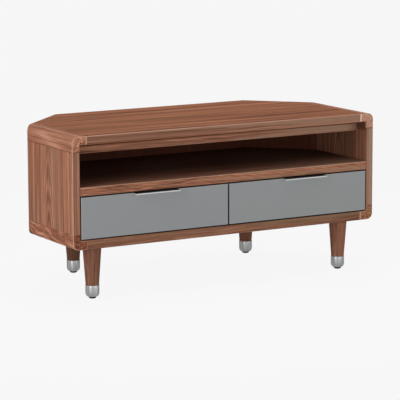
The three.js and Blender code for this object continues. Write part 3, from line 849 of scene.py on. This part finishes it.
def bevel_edges(piece, width, sharper_than):
    """Rounds the edges that turn by more than an angle in degrees. Width is in millimetres."""
    apply_modifier(piece, "BEVEL", width=width * MM, segments=EDGE_SEGMENTS, limit_method="ANGLE",
                   angle_limit=math.radians(sharper_than), harden_normals=False)


def smooth(piece, angle):
    select_only(piece)
    bpy.ops.object.shade_smooth_by_angle(angle=math.radians(angle))


print("an edge gets", EDGE_SEGMENTS, "facets")

# %% Softened copies
BODY, WORN_AND_LIT, ENDS = 0, 1, 2
SQUARE_ON, BACKWARDS, TILTED, OUTWARDS = 0.95, 0.5, 0.3, 0.05
SAME_SPOT = 0.01 * MM
FLAT_ANGLE = 1.0
BEVEL_ANGLE = 30
SMOOTH_ANGLE = 35


def finish_of(face):
    """Which of its three finishes a face of a board gets."""
    normal = face.normal
    middle = face.calc_center_median()
    if normal.y > BACKWARDS or (normal.y < -SQUARE_ON and middle.y < FRONT_FACE + 1.0 * MM):
        return ENDS
    near_front = middle.y < FRONT_FACE + 2.0 * MM
    sideways = normal.x * middle.x > OUTWARDS
    outwards = sideways or normal.z > TILTED or middle.z < ABOVE_BOTTOM
    # The outward and upward flats at the front get a painted highlight, with some wear in it.
    if near_front and -SQUARE_ON < normal.y < -TILTED and outwards:
        return WORN_AND_LIT
    return BODY


def softened_copy(name, body, finishes, width):
    piece = bpy.data.objects.new(name + "_dressed", nodes[name].data.copy())
    scene.collection.objects.link(piece)
    piece.data.materials.clear()
    for finish in finishes:
        piece.data.materials.append(finish)
    start_editing(piece)
    bpy.ops.mesh.select_all(action="SELECT")
    bpy.ops.mesh.remove_doubles(threshold=SAME_SPOT)
    bpy.ops.mesh.dissolve_limited(angle_limit=math.radians(FLAT_ANGLE))
    shape = bmesh.from_edit_mesh(piece.data)
    for face in shape.faces:
        face.material_index = finish_of(face)
    bmesh.update_edit_mesh(piece.data)
    bpy.ops.object.mode_set(mode="OBJECT")
    bevel_edges(piece, width, BEVEL_ANGLE)
    smooth(piece, SMOOTH_ANGLE)
    apply_modifier(piece, "WEIGHTED_NORMAL", keep_sharp=True)
    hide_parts(name)
    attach(piece, body)


# %% Soften the boards, mouldings, lippings and drawer fronts
SOFT_EDGE, SOFT_LIPPING, SOFT_FRONT = 0.45, 0.2, 0.3
TIMBER = {
    "top_board": (walnut_top, walnut_arris_wear_and_highlight, walnut_edges),
    "bottom_board": (walnut_bottom, walnut_bottom, walnut_bottom),
    "shelf": (walnut_edges, walnut_arris_wear_and_highlight, walnut_shelf),
    "top_rail": (walnut_rail, walnut_rail, walnut_rail),
    "left_side_panel": (walnut_sides, walnut_arris_wear_and_highlight, walnut_bands),
    "right_side_panel": (walnut_sides, walnut_arris_wear_and_highlight, walnut_bands),
    "divider": (walnut_inside, walnut_inside, walnut_inside),
    "centre_back": (walnut_inside, walnut_inside, walnut_back),
    "left_diagonal_back": (walnut_inside, walnut_inside, walnut_back),
    "right_diagonal_back": (walnut_inside, walnut_inside, walnut_back),
}
for node_name, finishes in TIMBER.items():
    softened_copy(node_name, "cabinet", finishes, SOFT_EDGE)
for corner, pale in maple.items():
    upper = corner.startswith("top")
    solid = walnut_upper if upper else walnut_lower
    veneer = walnut_top if upper else walnut_bottom
    finishes = (solid, walnut_arris_wear_and_highlight, walnut_ends[corner])
    softened_copy(corner + "_moulding", "cabinet", finishes, SOFT_EDGE)
    finishes = (veneer, pale, pale)
    softened_copy(corner + "_lipping", "cabinet", finishes, SOFT_LIPPING)
for side in ("left", "right"):
    front = side + "_drawer_front"
    finishes = (grey_edge_shade, grey_arris_highlight, grey_lacquer)
    softened_copy(front, side + "_drawer", finishes, SOFT_FRONT)

# %% [markdown]
# Legs, ferrules and glides come off a lathe. A lathe has one profile and one axis, and so does
# the spin tool: we draw half of the section as a row of points that are extruded one from the
# next, and spin it once round the axis of the leg. The seam and the poles are merged before
# the normals are turned outwards, so that each piece is one closed skin.

# %% Turning
SPIN_STEPS = 72
SAME_TURNED_SPOT = 0.005 * MM
TURNED_SMOOTH_ANGLE = 32


def arc(centre, radii, start, end, steps):
    """Points on a quarter or other arc, as radius and height. Angles are in degrees."""
    points = []
    for step in range(steps + 1):
        angle = math.radians(start + (end - start) * step / steps)
        across, up = radii[0] * math.cos(angle), radii[1] * math.sin(angle)
        points.append((centre[0] + across, centre[1] + up))
    return points


def turned_piece(name, profile, axis, finish):
    """Profile points are radius and height in millimetres, and axis is x and y in metres."""
    bpy.ops.object.select_all(action="DESELECT")
    bpy.ops.mesh.primitive_plane_add(size=MM, location=(0, 0, 0))
    piece = bpy.context.object
    piece.name = name
    bpy.ops.object.mode_set(mode="EDIT")
    bpy.ops.mesh.merge(type="CENTER")
    start = Vector((axis[0] + profile[0][0] * MM, axis[1], profile[0][1] * MM))
    bpy.ops.transform.translate(value=start)
    for before, after in zip(profile, profile[1:]):
        step = Vector(((after[0] - before[0]) * MM, 0.0, (after[1] - before[1]) * MM))
        bpy.ops.mesh.extrude_region_move(TRANSFORM_OT_translate={"value": step})
    bpy.ops.mesh.select_all(action="SELECT")
    bpy.ops.mesh.spin(
        steps=SPIN_STEPS, angle=2 * math.pi, center=(axis[0], axis[1], 0.0), axis=(0, 0, 1))
    bpy.ops.mesh.select_all(action="SELECT")
    bpy.ops.mesh.remove_doubles(threshold=SAME_TURNED_SPOT)
    bpy.ops.mesh.normals_make_consistent(inside=False)
    bpy.ops.object.mode_set(mode="OBJECT")
    piece.data.materials.append(finish)
    smooth(piece, TURNED_SMOOTH_ANGLE)
    return piece


# %% The three profiles of a foot, in millimetres
GAP = 0.3
LEG_HEIGHT, LEG_TOP_RADIUS, LEG_SHOULDER_RADIUS = 167.7, 30.0, 21.0
LEG_ROUND, SHOULDER_ROUND = 1.0, 0.4
TENON_RADIUS, TENON_TOP, TENON_CHAMFER = 15.0, 188.0, 1.0
FERRULE_RADIUS, FERRULE_BASE, FERRULE_TOP = 22.0, 5.5, 43.0
FERRULE_ROUND, FERRULE_WALL, FERRULE_FLOOR = 14.0, 1.7, 2.0
RIM_OUTSIDE, RIM_INSIDE = 0.5, 0.4
GLIDE_RADIUS, GLIDE_ROUND = 12.0, 4.5
STEM_RADIUS, STEM_TOP = 4.5, 26.0

spigot = FERRULE_RADIUS - FERRULE_WALL - GAP
hole = STEM_RADIUS + GAP
floor_top = FERRULE_BASE + FERRULE_FLOOR
inner_round = FERRULE_ROUND - FERRULE_FLOOR
round_middle = FERRULE_BASE + FERRULE_ROUND
leg_profile = [
    (0.0, STEM_TOP + GAP),
    (hole, STEM_TOP + GAP),
    (hole, floor_top + GAP),
    (GLIDE_RADIUS - GAP, floor_top + GAP),
    *arc((GLIDE_RADIUS - GAP, round_middle + GAP), (spigot - GLIDE_RADIUS + GAP, inner_round),
         -80, 0, 8),
    (spigot, FERRULE_TOP + GAP),
    *arc((LEG_SHOULDER_RADIUS - SHOULDER_ROUND, FERRULE_TOP + GAP + SHOULDER_ROUND),
         (SHOULDER_ROUND, SHOULDER_ROUND), -90, 0, 3),
    *arc((LEG_TOP_RADIUS - LEG_ROUND, LEG_HEIGHT - LEG_ROUND), (LEG_ROUND, LEG_ROUND),
         0, 90, 4),
    (TENON_RADIUS, LEG_HEIGHT),
    (TENON_RADIUS, TENON_TOP - TENON_CHAMFER),
    (TENON_RADIUS - TENON_CHAMFER, TENON_TOP),
    (0.0, TENON_TOP),
]
ferrule_profile = [
    (hole, floor_top),
    (hole, FERRULE_BASE),
    *arc((GLIDE_RADIUS, round_middle), (FERRULE_RADIUS - GLIDE_RADIUS, FERRULE_ROUND),
         -90, 0, 12),
    *arc((FERRULE_RADIUS - RIM_OUTSIDE, FERRULE_TOP - RIM_OUTSIDE), (RIM_OUTSIDE, RIM_OUTSIDE),
         0, 90, 3),
    *arc((FERRULE_RADIUS - FERRULE_WALL + RIM_INSIDE, FERRULE_TOP - RIM_INSIDE),
         (RIM_INSIDE, RIM_INSIDE), 90, 180, 2),
    *arc((GLIDE_RADIUS, round_middle), (spigot + GAP - GLIDE_RADIUS, inner_round), 0, -90, 8),
    (hole, floor_top),
]
glide_profile = [
    (0.0, 0.0),
    *arc((GLIDE_RADIUS - GLIDE_ROUND, GLIDE_ROUND), (GLIDE_ROUND, GLIDE_ROUND), -90, 0, 8),
    (GLIDE_RADIUS, FERRULE_BASE - GAP),
    (STEM_RADIUS, FERRULE_BASE - GAP),
    (STEM_RADIUS, STEM_TOP),
    (0.0, STEM_TOP),
]
print("the leg's profile has", len(leg_profile), "points")

# %% Turn the feet
# Painted light on the right legs and painted shade on the rear left one, through their tones.
FEET = {
    "front_left": ((-0.455, -0.18325), walnut_leg),
    "front_right": ((0.455, -0.18325), walnut_leg_painted_light),
    "rear_left": ((-0.330, 0.20175), walnut_leg_painted_shade),
    "rear_right": ((0.330, 0.20175), walnut_leg_painted_light),
}
for foot, (axis, timber) in FEET.items():
    for part, profile, finish, slot in (
        ("leg", leg_profile, timber, "walnut"),
        ("ferrule", ferrule_profile, ferrule_metal, "ferrule"),
        ("glide", glide_profile, black_nylon, "glide"),
    ):
        turned = turned_piece(foot + "_turned_" + part, profile, axis, finish)
        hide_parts(foot + "_" + part)
        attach(turned, "cabinet")
print("turned", 3 * len(FEET), "pieces")

# %% [markdown]
# The pull is a strip of metal, let into the top edge of the drawer front and turned down at its
# lip. We start from a flat bar, cut it behind the lip, push the lip's underside down, and bevel
# it so that the bend is round and the edges catch the light. What faces upwards gets a painted
# shade in black, and the lip is bright. Two small blackened pan-head screws hold it from above,
# each with a cross that two thin blocks cut out of its head.

# %% Helpers for the pulls
def add_box(name, centre, size, turn=0.0):
    bpy.ops.object.select_all(action="DESELECT")
    bpy.ops.mesh.primitive_cube_add(size=1.0, location=centre)
    box = bpy.context.object
    box.name = name
    box.scale = size
    box.rotation_euler = (0, 0, turn)
    bpy.ops.object.transform_apply(location=True, rotation=True, scale=True)
    return box


def select_where(piece, kind, wanted):
    """Selects the faces or the edges that a test picks out of a piece in edit mode."""
    bpy.ops.mesh.select_mode(type=kind)
    bpy.ops.mesh.select_all(action="DESELECT")
    shape = bmesh.from_edit_mesh(piece.data)
    for element in shape.faces if kind == "FACE" else shape.edges:
        element.select = wanted(element)
    bmesh.update_edit_mesh(piece.data)


# %% Pulls
PULL_LENGTH, PULL_REACH, PULL_THICKNESS, PULL_LIP = 157.0, 17.5, 2.0, 4.5
PULL_TOP, PULL_REAR = 331.0, 19.0
PULL_BEND, PULL_EDGE, PULL_BEVEL_ANGLE = 1.2, 0.3, 40
BEND_SEGMENTS = 4
PULL_MIDDLES = {"left": -261.25, "right": 281.25}
LIP, SHADED_PLATE = 0, 1
LEVEL = 0.9
NEARLY = 0.1
behind_lip = FRONT_FACE + (PULL_THICKNESS - PULL_REACH) * MM


def under_the_lip(face):
    return face.normal.z < -LEVEL and face.calc_center_median().y < behind_lip


def at_the_bend(edge):
    middle = (edge.verts[0].co + edge.verts[1].co) / 2
    at_top = middle.z > (PULL_TOP - NEARLY) * MM
    return at_top and middle.y < FRONT_FACE - (PULL_REACH - NEARLY) * MM


def make_pull(side, middle):
    depth = PULL_REACH + PULL_REAR
    centre_y = FRONT_FACE + (PULL_REAR - PULL_REACH) / 2 * MM
    centre = (middle * MM, centre_y, (PULL_TOP - PULL_THICKNESS / 2) * MM)
    size = (PULL_LENGTH * MM, depth * MM, PULL_THICKNESS * MM)
    pull = add_box(side + "_edge_pull", centre, size)
    start_editing(pull)
    bpy.ops.mesh.select_mode(type="FACE")
    bpy.ops.mesh.select_all(action="SELECT")
    bpy.ops.mesh.bisect(plane_co=(0, behind_lip, 0), plane_no=(0, 1, 0))
    select_where(pull, "FACE", under_the_lip)
    down = (0, 0, -(PULL_LIP - PULL_THICKNESS) * MM)
    bpy.ops.mesh.extrude_region_move(TRANSFORM_OT_translate={"value": down})
    select_where(pull, "EDGE", at_the_bend)
    bpy.ops.mesh.bevel(offset=PULL_BEND * MM, segments=BEND_SEGMENTS)
    bpy.ops.object.mode_set(mode="OBJECT")
    bevel_edges(pull, PULL_EDGE, PULL_BEVEL_ANGLE)
    pull.data.materials.append(pull_metal)
    pull.data.materials.append(pull_plate_shade)
    for face in pull.data.polygons:
        # Upward faces get the painted shade in black, and the others the bright lip metal.
        face.material_index = SHADED_PLATE if face.normal.z > TILTED else LIP
    smooth(pull, SMOOTH_ANGLE)
    apply_modifier(pull, "WEIGHTED_NORMAL", keep_sharp=True)
    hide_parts(side + "_drawer_pull")
    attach(pull, side + "_drawer")


print("a pull reaches", PULL_REACH, "mm out of the drawer front")

# %% Pull screws
SCREW_RADIUS, SCREW_HEAD, SCREW_ROUND, SCREW_SIDES = 3.2, 1.4, 0.6, 32
SCREW_SPREAD, SCREW_SETBACK = 60.0, 9.5
SLOT_LENGTH, SLOT_WIDTH, SLOT_BLOCK, SLOT_RAISED = 3.4, 0.8, 1.0, 0.6


def make_screw(name, place, body):
    bpy.ops.object.select_all(action="DESELECT")
    bpy.ops.mesh.primitive_cylinder_add(
        vertices=SCREW_SIDES, radius=SCREW_RADIUS * MM, depth=SCREW_HEAD * MM, location=place)
    screw = bpy.context.object
    screw.name = name
    bpy.ops.object.transform_apply(location=True, rotation=True, scale=True)
    start_editing(screw)
    select_where(screw, "FACE", lambda face: face.normal.z > LEVEL)
    bpy.ops.mesh.bevel(offset=SCREW_ROUND * MM, segments=BEND_SEGMENTS)
    bpy.ops.object.mode_set(mode="OBJECT")
    for turn in (0.0, QUARTER_TURN):
        centre = (place[0], place[1], place[2] + SLOT_RAISED * MM)
        size = (SLOT_LENGTH * MM, SLOT_WIDTH * MM, SLOT_BLOCK * MM)
        cutter = add_box("screw_slot_cutter", centre, size, turn)
        apply_modifier(screw, "BOOLEAN", operation="DIFFERENCE", object=cutter)
        bpy.data.objects.remove(cutter)
    screw.data.materials.append(blackened_steel)
    smooth(screw, SMOOTH_ANGLE)
    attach(screw, body)


# %% Make both pulls with their screws
for side, middle in PULL_MIDDLES.items():
    make_pull(side, middle)
    for number, shift in enumerate((-SCREW_SPREAD, SCREW_SPREAD)):
        screw_z = (PULL_TOP + SCREW_HEAD / 2) * MM
        screw_place = ((middle + shift) * MM, FRONT_FACE + SCREW_SETBACK * MM, screw_z)
        make_screw(f"{side}_pull_screw_{number + 1}", screw_place, side + "_drawer")
print("made", len(PULL_MIDDLES), "pulls with", 2 * len(PULL_MIDDLES), "screws")

# %% [markdown]
# The drawer boxes and the slides are flat boards and folded steel, which the CAD solids show
# well enough. They stay as they are and only get their finishes.

# %% Dress the nodes that stay
dressed = 0
for node_name in nodes:
    if "_slide_" in node_name:
        finish = zinc_steel
    elif "_drawer_" in node_name and not node_name.endswith(("_front", "_pull")):
        finish = birch
    else:
        continue
    nodes[node_name].data.materials.clear()
    nodes[node_name].data.materials.append(finish)
    dressed += 1
print("dressed", dressed, "nodes")
